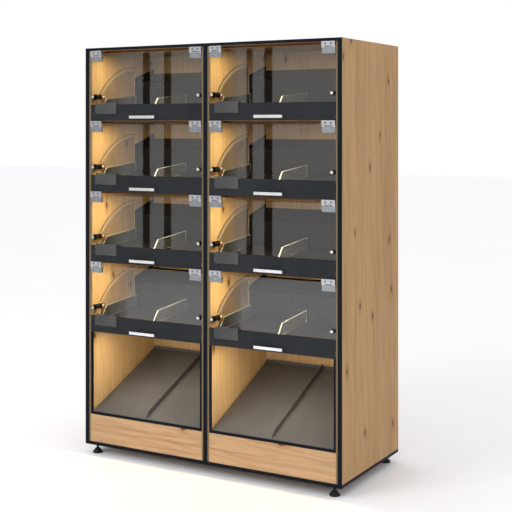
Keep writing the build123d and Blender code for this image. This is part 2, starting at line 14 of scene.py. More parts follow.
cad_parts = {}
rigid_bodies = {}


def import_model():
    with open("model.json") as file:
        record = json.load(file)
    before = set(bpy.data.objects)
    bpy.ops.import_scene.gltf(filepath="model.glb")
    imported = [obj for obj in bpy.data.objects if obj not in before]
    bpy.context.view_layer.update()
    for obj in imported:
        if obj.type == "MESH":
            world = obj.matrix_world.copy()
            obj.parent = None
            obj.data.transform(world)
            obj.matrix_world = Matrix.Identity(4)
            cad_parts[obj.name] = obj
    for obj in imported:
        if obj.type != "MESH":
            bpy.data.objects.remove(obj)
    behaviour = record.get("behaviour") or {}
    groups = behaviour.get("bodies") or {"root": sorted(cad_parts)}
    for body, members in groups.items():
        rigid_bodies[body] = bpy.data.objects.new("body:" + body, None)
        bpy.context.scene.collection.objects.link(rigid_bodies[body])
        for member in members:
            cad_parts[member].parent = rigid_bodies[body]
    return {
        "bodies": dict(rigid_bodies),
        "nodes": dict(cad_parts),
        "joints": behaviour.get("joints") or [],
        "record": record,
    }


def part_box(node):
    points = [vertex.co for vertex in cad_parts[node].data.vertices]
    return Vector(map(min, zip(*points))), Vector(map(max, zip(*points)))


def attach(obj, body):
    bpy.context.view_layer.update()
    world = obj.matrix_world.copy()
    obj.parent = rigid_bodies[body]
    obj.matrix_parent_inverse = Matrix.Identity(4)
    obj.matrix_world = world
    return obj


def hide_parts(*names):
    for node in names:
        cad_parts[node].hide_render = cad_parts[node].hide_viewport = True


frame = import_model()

bodies = list(frame["bodies"])
flaps = sorted(body for body in bodies if body.startswith("flap_"))
feet = sorted(body for body in bodies if body.startswith("foot_"))
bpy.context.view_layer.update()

# %% [markdown]
# The camera stands where the photograph was taken from: to the right of the unit, looking level,
# 1.6 m above the floor. The lens is shifted down instead of the camera being tilted, so uprights
# stay upright. It comes first, because every finish below is judged from here.

# %% Camera
scene = bpy.context.scene
photo_side = 512
camera_place = Vector((2.7513, -4.6398, 1.6118))
camera_turn = math.radians(29.767)
level_tilt = math.radians(90)
focal_pixels = 1105.4
horizon_pixel = 126.88
sensor = 36.0

camera_data = bpy.data.cameras.new("camera")
camera_data.sensor_width = sensor
camera_data.lens = sensor * focal_pixels / photo_side
camera_data.shift_y = (horizon_pixel - photo_side / 2) / photo_side
camera = bpy.data.objects.new("camera", camera_data)
camera.location = camera_place
camera.rotation_euler = (level_tilt, 0, camera_turn)
scene.collection.objects.link(camera)
scene.camera = camera
scene.view_settings.view_transform = "Standard"
print("lens", round(camera_data.lens, 1), "mm")

# %% [markdown]
# Materials are built from nodes, so they hold at any distance and need no pictures. A short helper
# makes a node, fills its sockets with numbers or links, and hands back the node. Every pattern
# starts from Object coordinates, which are metres here, so a scale of 100 means centimetres.

# %% Material helpers
def new_material(name):
    material = bpy.data.materials.new(name)
    material.use_nodes = True
    tree = material.node_tree
    tree.nodes.clear()
    output = tree.nodes.new("ShaderNodeOutputMaterial")
    shader = tree.nodes.new("ShaderNodeBsdfPrincipled")
    tree.links.new(shader.outputs["BSDF"], output.inputs["Surface"])
    return material, tree, shader


def node(tree, kind, settings=None, **inputs):
    """Makes a node. A socket named in inputs takes a number, a colour or another node's output.
    Where the sockets of a node share one name, i0, i1 and so on name them by their number."""
    made = tree.nodes.new(kind)
    for name, value in (settings or {}).items():
        setattr(made, name, value)
    for name, value in inputs.items():
        numbered = name[0] == "i" and name[1:].isdigit()
        socket = made.inputs[int(name[1:]) if numbered else name]
        if isinstance(value, bpy.types.NodeSocket):
            tree.links.new(value, socket)
        else:
            socket.default_value = value
    return made


def mapped(tree, scale=(1, 1, 1)):
    """Object coordinates, stretched: a small scale draws the pattern out along that axis."""
    place = tree.nodes.new("ShaderNodeTexCoord")
    made = node(tree, "ShaderNodeMapping", Vector=place.outputs["Object"], Scale=scale)
    return made.outputs["Vector"]


def noise(tree, vector, scale, detail=2.0, roughness=0.5, distortion=0.0):
    made = node(tree, "ShaderNodeTexNoise", Vector=vector, Scale=scale, Detail=detail,
                Roughness=roughness, Distortion=distortion)
    return made.outputs["Fac"]


def ramp(tree, factor, *stops):
    """A colour ramp from (place, colour) pairs; a grey may be given as one number."""
    made = node(tree, "ShaderNodeValToRGB", Fac=factor)
    band = made.color_ramp
    while len(band.elements) < len(stops):
        band.elements.new(0.5)
    for element, (place, colour) in zip(band.elements, stops):
        element.position = place
        tone = (colour,) * 3 if isinstance(colour, float) else colour
        element.color = (*tone, 1)
    return made.outputs["Color"]


print("basic helpers ready")

# %% [markdown]
# Three more helpers work on what the basic ones give: one mixes two colours, one turns a pattern
# into small relief, and one finds the faces that look along an axis. The last is how the polished
# edge of a sheet or the front edge of a board gets a tone of its own, painted light or shade.

# %% Mixing and relief helpers
side_on, face_on = 0.45, 0.8


def mix(tree, factor, first, second, blend="MIX"):
    made = tree.nodes.new("ShaderNodeMix")
    made.data_type = "RGBA"
    made.blend_type = blend
    sockets = made.inputs["Factor"], made.inputs[6], made.inputs[7]
    for socket, value in zip(sockets, (factor, first, second)):
        if isinstance(value, bpy.types.NodeSocket):
            tree.links.new(value, socket)
        elif isinstance(value, float):
            socket.default_value = value
        else:
            socket.default_value = (*value, 1)
    return made.outputs[2]


def bump(tree, height, strength, distance):
    made = node(tree, "ShaderNodeBump", Height=height, Strength=strength, Distance=distance)
    return made.outputs["Normal"]


def looks_along(tree, axis):
    """One on the faces that look along an axis, either way, and nothing on the others."""
    place = tree.nodes.new("ShaderNodeTexCoord")
    parts = node(tree, "ShaderNodeSeparateXYZ", Vector=place.outputs["Normal"])
    flat = node(tree, "ShaderNodeMath", {"operation": "ABSOLUTE"}, i0=parts.outputs[axis])
    return ramp(tree, flat.outputs[0], (side_on, 0.0), (face_on, 1.0))


print("mixing and relief helpers ready")

# %% [markdown]
# The cladding is knotty oak. A board has five layers that the eye reads one after another: broad
# light and dark bands, the long figure of the growth rings, thin dark streaks, short pores, and a
# few knots with a darker halo. The knots come from a flat cell pattern on the board's face, so that
# they don't depend on its thickness. A little noise bends the pattern, so no knot is a true oval.

# %% Knots
x_axis, y_axis, z_axis = range(3)
knots_across, knots_along = 3.4, 1.7
shift_across, shift_along = 0.35, 0.2
bend_scale = 9.0
bend_size = 0.035


def knots(tree, grain, face, share):
    """Distance to the nearest knot, measured on the board's face, shorter across than along."""
    drift = node(tree, "ShaderNodeTexNoise", Vector=mapped(tree, (bend_scale,) * 3), Scale=1.0)
    small = node(tree, "ShaderNodeVectorMath", {"operation": "SCALE"}, i0=drift.outputs["Color"],
                 Scale=bend_size)
    place = node(tree, "ShaderNodeVectorMath", {"operation": "ADD"}, i0=mapped(tree),
                 i1=small.outputs[0])
    parts = node(tree, "ShaderNodeSeparateXYZ", Vector=place.outputs[0])
    across = x_axis + y_axis + z_axis - grain - face
    flat = node(tree, "ShaderNodeCombineXYZ", X=parts.outputs[across], Y=parts.outputs[grain])
    sized = node(tree, "ShaderNodeMapping", Vector=flat.outputs[0],
                 Scale=(knots_across / share, knots_along / share, 1.0),
                 Location=(shift_across * (face + 1), shift_along * (grain + 1), 0.0))
    cells = node(tree, "ShaderNodeTexVoronoi", {"voronoi_dimensions": "2D"},
                 Vector=sized.outputs[0], Scale=1.0, Randomness=1.0)
    return cells.outputs["Distance"]


print("about", round(knots_across * knots_along), "knots to a square metre")

# %% [markdown]
# Each layer of the wood is noise drawn out along the grain, and darkens the one below it. One
# function makes every board, because they differ only in how the grain runs, in tone, and in how
# strong the figure is. The inner boards get a lighter, yellower tone, painted light that copies how
# they look under their lamps.
# The front edges of the linings are much darker than their faces. The back panel has no knots.

# %% Oak
grain_stretch, streak_stretch, pore_stretch = 0.07, 0.022, 0.03
band_scale, figure_scale, streak_scale, pore_scale = 6.0, 16.0, 62.0, 420.0
figure_bend = 14.0
ring_share, streak_share, pore_share, halo_share = 0.36, 0.50, 0.40, 0.55
knot_colour = (0.085, 0.034, 0.009)
warm_shade = (0.62, 0.48, 0.34)
pore_depth = 0.0004


def along(axis, stretch, across=1.0):
    """A mapping scale that draws a pattern out along one axis."""
    return tuple(stretch if index == axis else across for index in range(3))


def oak(name, grain, face, light, dark, knot_share=1.0, painted_edge_shade=1.0, figured=1.0):
    """Oak with its grain along one axis, on boards whose broad face looks along another.
    The front edge may get a band of painted shade, darker than the face, and figured says how strong
    the grain is."""
    material, tree, shader = new_material(name)
    figure_space = mapped(tree, along(grain, grain_stretch))
    bands = noise(tree, figure_space, band_scale, detail=4.0, roughness=0.6)
    rings = {"wave_type": "BANDS", "bands_direction": "DIAGONAL"}
    figure = node(tree, "ShaderNodeTexWave", rings, Vector=figure_space, Scale=figure_scale,
                  Distortion=figure_bend, Detail=3.0).outputs["Fac"]
    streaks = noise(tree, mapped(tree, along(grain, streak_stretch)), streak_scale, detail=3.0,
                    roughness=0.6, distortion=0.4)
    pores = noise(tree, mapped(tree, along(grain, pore_stretch)), pore_scale, roughness=0.6)
    colour = ramp(tree, bands, (0.25, dark), (0.75, light))
    shade = ramp(tree, figure, (0.1, 0.62), (0.6, 1.0))
    colour = mix(tree, ring_share * figured, colour, shade, "MULTIPLY")
    shade = ramp(tree, streaks, (0.30, warm_shade), (0.46, 1.0))
    colour = mix(tree, streak_share * figured, colour, shade, "MULTIPLY")
    shade = ramp(tree, pores, (0.30, 0.55), (0.46, 1.0))
    colour = mix(tree, pore_share * figured, colour, shade, "MULTIPLY")
    if knot_share:
        distance = knots(tree, grain, face, knot_share)
        halo = ramp(tree, distance, (0.03, warm_shade), (0.12, 1.0))
        heart = ramp(tree, distance, (0.021, 0.94), (0.042, 0.0))
        colour = mix(tree, halo_share, colour, halo, "MULTIPLY")
        colour = mix(tree, heart, colour, knot_colour)
    # painted shade: the linings' front edges are darkened where they show beside the posts
    if painted_edge_shade < 1.0:
        facing = looks_along(tree, "Y")
        shaded_edge = mix(tree, 1.0, colour, (painted_edge_shade,) * 3, "MULTIPLY")
        colour = mix(tree, facing, colour, shaded_edge)
    tree.links.new(colour, shader.inputs["Base Color"])
    tree.links.new(ramp(tree, bands, (0.2, 0.66), (0.8, 0.52)), shader.inputs["Roughness"])
    tree.links.new(bump(tree, pores, 0.12, pore_depth), shader.inputs["Normal"])
    shader.inputs["Specular IOR Level"].default_value = 0.3
    return material


side_tones = (0.500, 0.296, 0.128), (0.360, 0.205, 0.086)
front_tones = (0.560, 0.345, 0.182), (0.452, 0.274, 0.140)
top_tones = (0.590, 0.360, 0.165), (0.430, 0.250, 0.110)
# painted light: the inner boards are made lighter and yellower, as they look under their lamps
lamp_lit_tones = (0.705, 0.502, 0.262), (0.566, 0.390, 0.192)
back_tones = (0.58, 0.42, 0.27), (0.48, 0.34, 0.21)
side_oak = oak("side_oak", z_axis, x_axis, *side_tones, knot_share=0.75, figured=0.85)
front_oak = oak("front_oak", x_axis, y_axis, *front_tones, knot_share=0.8)
top_oak = oak("top_oak", x_axis, z_axis, *top_tones)
lining_oak = oak("lining_oak", z_axis, x_axis, *lamp_lit_tones, knot_share=0.8, painted_edge_shade=0.28,
                 figured=0.6)
rear_oak = oak("rear_oak", z_axis, y_axis, *lamp_lit_tones, knot_share=0.8, figured=0.6)
shelf_oak = oak("shelf_oak", x_axis, z_axis, *lamp_lit_tones, knot_share=0.8)
back_oak = oak("back_board", z_axis, y_axis, *back_tones, knot_share=0.0)
print("seven kinds of board")

# %% [markdown]
# Powder coat is a satin paint with a fine orange-peel skin. The coat is nearly flat in colour, but
# it dulls and lightens a little where dust and hands reach it, so roughness and colour both drift.
# The same function makes the black frame, the grey fascias, trays and bag shelves, the brown
# brackets and pale caps of the buffers, and everything that is moulded: the rubber sleeves, the
# feet, the case of the power supply and the inlet.

# %% Coated and moulded finishes
drift_scale = 5.0
worn_share = 1.35
worn_step = 0.004
skin_strength = 0.25


def coated(name, colour, rough, peel=900.0, depth=0.00015, gloss=0.25):
    """A coat: peel is how fine its skin is, depth how deep, and gloss how strongly it mirrors."""
    material, tree, shader = new_material(name)
    space = mapped(tree)
    drift = noise(tree, space, drift_scale, detail=4.0, roughness=0.6)
    worn = tuple(min(1.0, channel * worn_share + worn_step) for channel in colour)
    dulled = ramp(tree, drift, (0.3, colour), (0.75, worn))
    tree.links.new(dulled, shader.inputs["Base Color"])
    dulled = ramp(tree, drift, (0.3, rough - 0.06), (0.7, rough + 0.07))
    tree.links.new(dulled, shader.inputs["Roughness"])
    skin = bump(tree, noise(tree, space, peel), skin_strength, depth)
    tree.links.new(skin, shader.inputs["Normal"])
    shader.inputs["Specular IOR Level"].default_value = gloss
    return material


black_coat = coated("black_coat", (0.0030, 0.0042, 0.0085), 0.42, gloss=0.08)
fascia_coat = coated("fascia_coat", (0.0140, 0.0150, 0.0175), 0.45, gloss=0.14)
tray_coat = coated("tray_coat", (0.009, 0.009, 0.011), 0.42, depth=0.000006, gloss=0.12)
bag_coat = coated("bag_coat", (0.085, 0.086, 0.090), 0.42)
bracket_coat = coated("bracket_coat", (0.40, 0.245, 0.110), 0.45)
cap_coat = coated("cap_coat", (0.58, 0.61, 0.68), 0.35, gloss=0.5)
foot_moulding = coated("foot_moulding", (0.010, 0.010, 0.011), 0.50, peel=300.0)
sleeve_rubber = coated("sleeve_rubber", (0.010, 0.010, 0.011), 0.40, peel=220.0, depth=0.0002)
driver_shell = coated("driver_shell", (0.62, 0.62, 0.60), 0.55, peel=400.0)
inlet_moulding = coated("inlet_moulding", (0.02, 0.02, 0.02), 0.5, peel=300.0)
print("ten coated and moulded finishes")

# %% [markdown]
# The handles, hinges, knobs and screws are brushed steel, and the light channels are a dark bronze
# metal. Brushing leaves long fine scratches along the bar, so the noise is drawn out along X, and
# it drives roughness and a very small bump. A knob's face is bright and its turned rim is dark, so
# it has a second colour for the faces that don't look along Y.

# %% Brushed metal
long_brush, no_brush = 0.02, 1.0
scratch_scale, cloud_scale = 2600.0, 40.0
scratch_strength, scratch_depth = 0.10, 0.0001
dull_share = 0.86


def brushed(name, colour, rough, stretch=long_brush, side=None):
    """Brushed metal; side is the colour of the faces that don't look along Y."""
    material, tree, shader = new_material(name)
    lines = noise(tree, mapped(tree, along(x_axis, stretch)), scratch_scale, roughness=0.7)
    cloud = noise(tree, mapped(tree), cloud_scale, detail=3.0)
    dull = tuple(channel * dull_share for channel in colour)
    tone = ramp(tree, cloud, (0.3, dull), (0.7, colour))
    if side:
        tone = mix(tree, looks_along(tree, "Y"), side, tone)
    tree.links.new(tone, shader.inputs["Base Color"])
    scratched = ramp(tree, lines, (0.3, rough - 0.08), (0.7, rough + 0.10))
    tree.links.new(scratched, shader.inputs["Roughness"])
    relief = bump(tree, lines, scratch_strength, scratch_depth)
    tree.links.new(relief, shader.inputs["Normal"])
    shader.inputs["Metallic"].default_value = 1.0
    return material


bright_steel = brushed("bright_steel", (0.97, 0.97, 0.97), 0.30)
knob_steel = brushed("knob_steel", (0.97, 0.97, 0.97), 0.22, side=(0.05, 0.05, 0.055))
leaf_steel = brushed("leaf_steel", (0.60, 0.61, 0.63), 0.38)
clamp_steel = brushed("clamp_steel", (0.38, 0.40, 0.43), 0.38)
screw_steel = brushed("screw_steel", (0.12, 0.12, 0.13), 0.40, no_brush)
channel_metal = brushed("channel_metal", (0.16, 0.09, 0.04), 0.42)
print("six brushed finishes")

# %% [markdown]
# The flaps are clear acrylic. Light goes straight through the sheet, while its two faces mirror a
# few per cent of the bright room: that reflection is the grey veil over the compartments. So the
# pane is a true transmitting sheet. Its edge gets a dark brown tone of its own, a painted reflection
# of the dark room and wood that the edge shows.

# %% Clear panes
acrylic_ior = 1.49


def clear_pane(name, face_tint, painted_edge_tone):
    material, tree, shader = new_material(name)
    # painted reflection: the edge faces get a dark brown tone for the dark room and wood they show
    tint = mix(tree, looks_along(tree, "Y"), painted_edge_tone, face_tint)
    tree.links.new(tint, shader.inputs["Base Color"])
    shader.inputs["IOR"].default_value = acrylic_ior
    shader.inputs["Transmission Weight"].default_value = 1.0
    smear = noise(tree, mapped(tree), 6.0, detail=4.0, roughness=0.6)
    tree.links.new(ramp(tree, smear, (0.35, 0.0), (0.8, 0.006)), shader.inputs["Roughness"])
    return material


pane_sheet = clear_pane("pane_sheet", (0.96, 0.98, 0.97), (0.20, 0.15, 0.10))
print("pane ready")

# %% [markdown]
# The dividers, the side cheeks and the price pockets are clear sheet too, but they are seen through
# a pane or against a dark fascia, where only their polished edges catch the light. Alpha is enough
# for that, and it stays clean behind the pane. Their edges are less clear than their faces and get a
# paler tone, a painted highlight. A cheek also has a painted band along its curved edge, a pale
# painted highlight with dark painted shade at its rims: its distance from the arc's centre, row
# after row, says where.

# %% Dividers, cheeks and price pockets
row_pitch = 0.346
lowest_row = 0.602
arc_radius = 0.373
arc_drop = 0.091
arc_back = 0.063
band_width = 0.023
band_alpha = 0.44


def edge_lit(name, face_alpha, edge_alpha, tint, painted_edge_tone, band=None, axis="X"):
    """A sheet whose faces look along one axis, with edges of another clearness and a painted
    highlight tone.
    """
    material, tree, shader = new_material(name)
    flat = looks_along(tree, axis)
    # painted highlight: the edges get a paler tone, where the polished edges catch the light
    colour = mix(tree, flat, painted_edge_tone, tint)
    cover = mix(tree, flat, (edge_alpha,) * 3, (face_alpha,) * 3)
    if band:
        rim, rim_cover = band(tree)
        colour = mix(tree, rim_cover, colour, rim)
        cover = mix(tree, rim_cover, cover, (band_alpha,) * 3)
    tree.links.new(colour, shader.inputs["Base Color"])
    tree.links.new(cover, shader.inputs["Alpha"])
    haze = noise(tree, mapped(tree), 14.0, detail=3.0)
    tree.links.new(ramp(tree, haze, (0.3, 0.04), (0.8, 0.12)), shader.inputs["Roughness"])
    return material


def maths(tree, operation, first, second):
    return node(tree, "ShaderNodeMath", {"operation": operation}, i0=first, i1=second).outputs[0]


def painted_arc_band(tree):
    """The painted band and where it lies, from the distance to the arc's centre: a pale painted
    highlight along the curved edge, with dark painted shade at its rims.
    """
    place = tree.nodes.new("ShaderNodeTexCoord")
    parts = node(tree, "ShaderNodeSeparateXYZ", Vector=place.outputs["Object"]).outputs
    rise = maths(tree, "SUBTRACT", parts["Z"], lowest_row)
    in_row = maths(tree, "FLOORED_MODULO", rise, row_pitch)
    up = maths(tree, "ADD", in_row, arc_drop)
    back = maths(tree, "SUBTRACT", parts["Y"], arc_back)
    flat = node(tree, "ShaderNodeCombineXYZ", X=up, Y=back).outputs[0]
    reach = node(tree, "ShaderNodeVectorMath", {"operation": "LENGTH"}, i0=flat).outputs["Value"]
    share = maths(tree, "DIVIDE", reach, arc_radius)
    inner = (arc_radius - band_width) / arc_radius
    # painted highlight and shade: a pale band with dark lines at its rims, where the curved edge
    # catches the light
    tone = ramp(tree, share, (inner, (0.26, 0.19, 0.12)), (inner + 0.008, (0.82, 0.68, 0.52)),
                (0.988, (0.88, 0.74, 0.56)), (0.994, (0.20, 0.13, 0.08)))
    return tone, ramp(tree, share, (inner - 0.004, 0.0), (inner + 0.004, 1.0))


cheek_sheet = edge_lit("cheek_sheet", 0.26, 0.80, (0.34, 0.31, 0.27), (0.80, 0.80, 0.72), painted_arc_band)
divider_sheet = edge_lit("divider_sheet", 0.14, 0.85, (0.30, 0.31, 0.30), (0.86, 0.92, 0.86))
pocket_sheet = edge_lit("pocket_sheet", 0.50, 0.75, (0.10,) * 3, (0.22,) * 3, axis="Y")
print("three edge-lit sheets")

# %% [markdown]
# Every finished piece enters the scene in the same way: it rides on one body, so that it moves with
# it, and it may stand for a imported node.

# %% Adding a piece
slot_of = {row["node"]: row["material_slot"] for row in frame["record"]["subparts"]}
body_of = {name: body for body, names in frame["record"]["behaviour"]["bodies"].items()
           for name in names}


def add_piece(name, mesh, body, slot, stands_for=None):
    piece = bpy.data.objects.new(name, mesh)
    scene.collection.objects.link(piece)
    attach(piece, body)
    if stands_for:
        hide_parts(stands_for)
    return piece


print("slots", sorted(set(slot_of.values())))

# %% [markdown]
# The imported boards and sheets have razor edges, which nothing real has: a soft edge catches a line
# of light and tells the eye what the thing is made of. A rounded copy must keep its flat faces
# perfectly flat, or the panes would mirror the room in waves. So the planes of the flat faces are
# noted before the edges are rounded, and the faces that still lie in them are shaded flat after.

# %% Finding flat faces
flat_angle = math.radians(1.0)
sharp_angle = math.radians(34.0)
same_direction = 0.99995
places_per_metre = 10000


def is_flat(face):
    """A face that meets no neighbour at a shallow angle, so it is no part of a round wall."""
    angles = [edge.calc_face_angle(0.0) for edge in face.edges]
    return all(angle > sharp_angle or angle < flat_angle for angle in angles)


def place_of(face):
    """How far the face's plane lies from the origin, in whole tenths of a millimetre."""
    return round(face.normal.dot(face.verts[0].co) * places_per_metre)


def flat_planes(shape):
    """The planes of the flat faces: each direction, with the places where it occurs."""
    planes = []
    for face in filter(is_flat, shape.faces):
        for direction, places in planes:
            if direction.dot(face.normal) > same_direction:
                places.add(place_of(face))
                break
        else:
            planes.append((face.normal.copy(), {place_of(face)}))
    return planes


def in_planes(face, planes):
    near = {place_of(face) + step for step in (-1, 0, 1)}
    return any(direction.dot(face.normal) > same_direction and places & near
               for direction, places in planes)


print("flat to", round(math.degrees(flat_angle), 1), "degree")

# %% [markdown]
# Each node is copied, its triangles are joined back into whole faces, and every sharp edge is
# rounded by a fraction of a millimetre. The copy then stands for its node. It never grows, so it
# stays inside the node's own space. A node may hold several kinds of loose part, told apart by
# their length along X, and each kind can get its own copy and its own finish.

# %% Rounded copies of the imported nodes
merge_distance = 0.00001
round_profile = 0.5
any_length = (0.0, 9.0)


def islands(shape):
    """The loose parts of a mesh, each as a set of vertices."""
    left = set(shape.verts)
    while left:
        stack = [left.pop()]
        group = set(stack)
        while stack:
            found = {vert for edge in stack.pop().link_edges for vert in edge.verts} - group
            group |= found
            stack += found
        left -= group
        yield group


def whole_faces(source_name, shortest, longest):
    """A node's loose parts of the wanted length, with their triangles joined into whole faces."""
    shape = bmesh.new()
    shape.from_mesh(frame["nodes"][source_name].data)
    bmesh.ops.remove_doubles(shape, verts=shape.verts, dist=merge_distance)
    spare = []
    for group in islands(shape):
        across = [vert.co.x for vert in group]
        if not shortest <= max(across) - min(across) < longest:
            spare += group
    bmesh.ops.delete(shape, geom=spare, context="VERTS")
    bmesh.ops.dissolve_limit(shape, angle_limit=flat_angle, verts=shape.verts, edges=shape.edges)
    return shape


def rounded(source_name, piece_name, width, finish, body, segments=2, lengths=any_length):
    """A copy of a node, edges rounded by width, that rides on its body and stands for the node."""
    shape = whole_faces(source_name, *lengths)
    planes = flat_planes(shape)
    if width:
        sharp = [edge for edge in shape.edges if len(edge.link_faces) == 2
                 and edge.calc_face_angle(0.0) > sharp_angle]
        bmesh.ops.bevel(shape, geom=sharp, offset=width, segments=segments, profile=round_profile,
                        affect="EDGES", clamp_overlap=True)
    shape.normal_update()
    for face in shape.faces:
        face.smooth = not in_planes(face, planes)
    for edge in shape.edges:
        edge.smooth = edge.calc_face_angle(0.0) < sharp_angle
    mesh = bpy.data.meshes.new(piece_name)
    shape.to_mesh(mesh)
    shape.free()
    packed_normals = mesh.attributes.get("custom_normal")
    if packed_normals:
        mesh.attributes.remove(packed_normals)
    mesh.materials.clear()
    mesh.materials.append(finish)
    return add_piece(piece_name, mesh, body, slot_of[source_name], source_name)


print("rounded copies ready, edges sharper than", round(math.degrees(sharp_angle)), "degrees")

# %% [markdown]
# One table says which finish each part of the carcass gets and how soft its edges are: a board is
# softer than bent sheet, and tube is the softest. The clear sheets get a tiny polished edge. The
# rear lining shows no edge at all, so it stays sharp.

# %% Carcass, trays and inner fittings
soft_edge, board_edge, fine_edge = 0.0010, 0.0008, 0.0006
frame_edge, sheet_edge, small_edge = 0.0005, 0.0004, 0.0003
carcass = {
    "side_panel_left": (side_oak, board_edge),
    "side_panel_right": (side_oak, board_edge),
    "top_board": (top_oak, board_edge),
    "plinth_boards": (front_oak, fine_edge),
    "middle_partition": (lining_oak, fine_edge),
    "linings": (lining_oak, fine_edge),
    "rear_lining": (rear_oak, 0.0),
    "shelves": (shelf_oak, fine_edge),
    "back_panel": (back_oak, fine_edge),
    "front_frame": (black_coat, frame_edge),
    "base_frame": (black_coat, soft_edge),
    "bay_trims": (black_coat, sheet_edge),
    "foot_plates": (black_coat, sheet_edge),
    "buffer_brackets": (bracket_coat, sheet_edge),
    "front_trays": (tray_coat, sheet_edge),
    "rear_trays": (tray_coat, sheet_edge),
    "bag_shelves": (bag_coat, sheet_edge),
    "side_cheeks": (cheek_sheet, sheet_edge),
    "tray_dividers": (divider_sheet, fine_edge),
    "light_strips": (channel_metal, small_edge),
    "power_supply": (driver_shell, soft_edge),
    "power_inlet": (inlet_moulding, sheet_edge),
    "hinge_leaves": (leaf_steel, frame_edge),
    "hinge_pins": (bright_steel, small_edge),
}
dressed = {name: rounded(name, name + "_dressed", width, finish, body_of[name])
           for name, (finish, width) in carcass.items()}
print("dressed", len(carcass), "nodes of the carcass")

# %% [markdown]
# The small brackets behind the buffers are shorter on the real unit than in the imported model. Their
# lower edges are lifted in every row, and the rest of each bracket stays where it is.

# %% Shorter brackets
bracket_lowest = 0.087
bracket_lift = 0.010
lifted = [vert for vert in dressed["buffer_brackets"].data.vertices
          if (vert.co.z - lowest_row) % row_pitch < bracket_lowest + bracket_lift]
for vert in lifted:
    vert.co.z += bracket_lift
print("lifted", len(lifted), "vertices of the brackets")

# %% [markdown]
# Each flap has two buffers, which meet the brackets when it closes. The middle of a buffer is a
# rubber sleeve shaped like a spool, so it is made as on a lathe: a profile of distances and radii
# is carried round an axis along Y. The rims at both ends are a little wider than the waist.

# %% Rubber sleeves
spool_sides = 28
spool_profile = [(0.0, 0.0124), (0.0010, 0.0134), (0.0100, 0.0134), (0.0115, 0.0116),
                 (0.0345, 0.0116), (0.0360, 0.0134), (0.0450, 0.0134), (0.0460, 0.0124)]
spool_length = spool_profile[-1][0]


def smooth_flats(mesh):
    """Shades round walls smooth and leaves flat ones flat."""
    mesh.shade_smooth()
    mesh.set_sharp_from_angle(angle=sharp_angle)


def spools(flap):
    """The two rubber sleeves of a flap, turned round axes along Y."""
    low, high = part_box(flap + "_buffers")
    level = (low.z + high.z) / 2
    wide = (high.z - low.z) / 2
    turns = [2 * math.pi * step / spool_sides for step in range(spool_sides)]
    shape = bmesh.new()
    for x in (low.x + wide, high.x - wide):
        rings = []
        for away, radius in spool_profile:
            rings.append([shape.verts.new((x + radius * math.cos(turn), low.y + away,
                                           level + radius * math.sin(turn))) for turn in turns])
        shape.faces.new(rings[0])
        shape.faces.new(rings[-1])
        for near, far in zip(rings, rings[1:]):
            for step in range(spool_sides):
                after = (step + 1) % spool_sides
                shape.faces.new((near[step], near[after], far[after], far[step]))
    bmesh.ops.recalc_face_normals(shape, faces=shape.faces[:])
    source_name = flap + "_buffers"
    mesh = bpy.data.meshes.new(source_name + "_dressed")
    shape.to_mesh(mesh)
    shape.free()
    mesh.materials.append(sleeve_rubber)
    smooth_flats(mesh)
    return add_piece(source_name + "_dressed", mesh, flap, slot_of[source_name], source_name)


print("sleeves", spool_length, "m long")

# %% [markdown]
# Every flap is dressed the same way, so one loop does all eight. The glazing is one node with two
# kinds of loose part, the pane and its price pocket. The fittings are one with four: buffer caps,
# buffer knobs, hinge clamps and the handle, from the shortest to the longest. The caps reach
# forward to the ends of the sleeves, and the handle's bar and posts are slimmed about their middle.

# %% Flaps
cap_edge, knob_edge = 0.0020, 0.0022
# kind: node, finish, edge width, rounding steps, and the shortest and longest length along X
flap_kinds = {
    "fascia": ("fascia", fascia_coat, frame_edge, 2, any_length),
    "pane": ("glazing", pane_sheet, sheet_edge, 2, (0.3, 9.0)),
    "pocket": ("glazing", pocket_sheet, sheet_edge, 2, (0.0, 0.3)),
    "caps": ("fittings", cap_coat, cap_edge, 3, (0.0, 0.015)),
    "knobs": ("fittings", knob_steel, knob_edge, 3, (0.015, 0.03)),
    "clamps": ("fittings", clamp_steel, fine_edge, 2, (0.03, 0.1)),
    "handle": ("fittings", bright_steel, soft_edge, 2, (0.1, 0.3)),
}
cap_middle = 0.004
handle_share = 0.75
handle_rise = 0.002


def lengthen_caps(caps, near, far):
    """Moves the caps' front ends forward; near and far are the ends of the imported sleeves."""
    for vert in caps.data.vertices:
        if vert.co.y < far + cap_middle:
            vert.co.y -= far - near - spool_length


def slim_handle(handle):
    """Makes the bar and its posts less tall, and lifts them a little."""
    heights = [vert.co.z for vert in handle.data.vertices]
    middle = (min(heights) + max(heights)) / 2
    for vert in handle.data.vertices:
        vert.co.z = middle + handle_rise + (vert.co.z - middle) * handle_share


for flap in flaps:
    made = {kind: rounded(f"{flap}_{part}", f"{flap}_{kind}_dressed", width, finish, flap,
                          segments, lengths)
            for kind, (part, finish, width, segments, lengths) in flap_kinds.items()}
    spools(flap)
    lengthen_caps(made["caps"], *(corner.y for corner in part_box(flap + "_buffers")))
    slim_handle(made["handle"])
print("dressed", len(flaps), "flaps")

# %% [markdown]
# A levelling foot is a moulded cone on a threaded stem. The stem is thinned above the cone, so that
# the wire of the thread, which comes later, stays inside the nut's bore.

# %% Feet
foot_edge = 0.0008
stem_radius = 0.006
core_radius = 0.00555
cone_top = 0.024
for foot in feet:
    made = rounded(foot, foot + "_dressed", foot_edge, foot_moulding, foot)
    middle = sum(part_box(foot), Vector()) / 2
    for vert in made.data.vertices:
        away = Vector((vert.co.x - middle.x, vert.co.y - middle.y, 0.0))
        in_stem = away.length < stem_radius + merge_distance
        if in_stem and vert.co.z > cone_top - merge_distance:
            vert.co -= away * (1.0 - core_radius / stem_radius)
print("dressed", len(feet), "feet")

# %% [markdown]
# Screws and threads repeat or follow a path, so Geometry Nodes make them. A tree is a small
# machine with named sizes on its input. These helpers build a tree, set a modifier's inputs by
# each socket's identifier, and turn the result into a plain mesh for one body, because instances
# and modifiers don't survive an export.

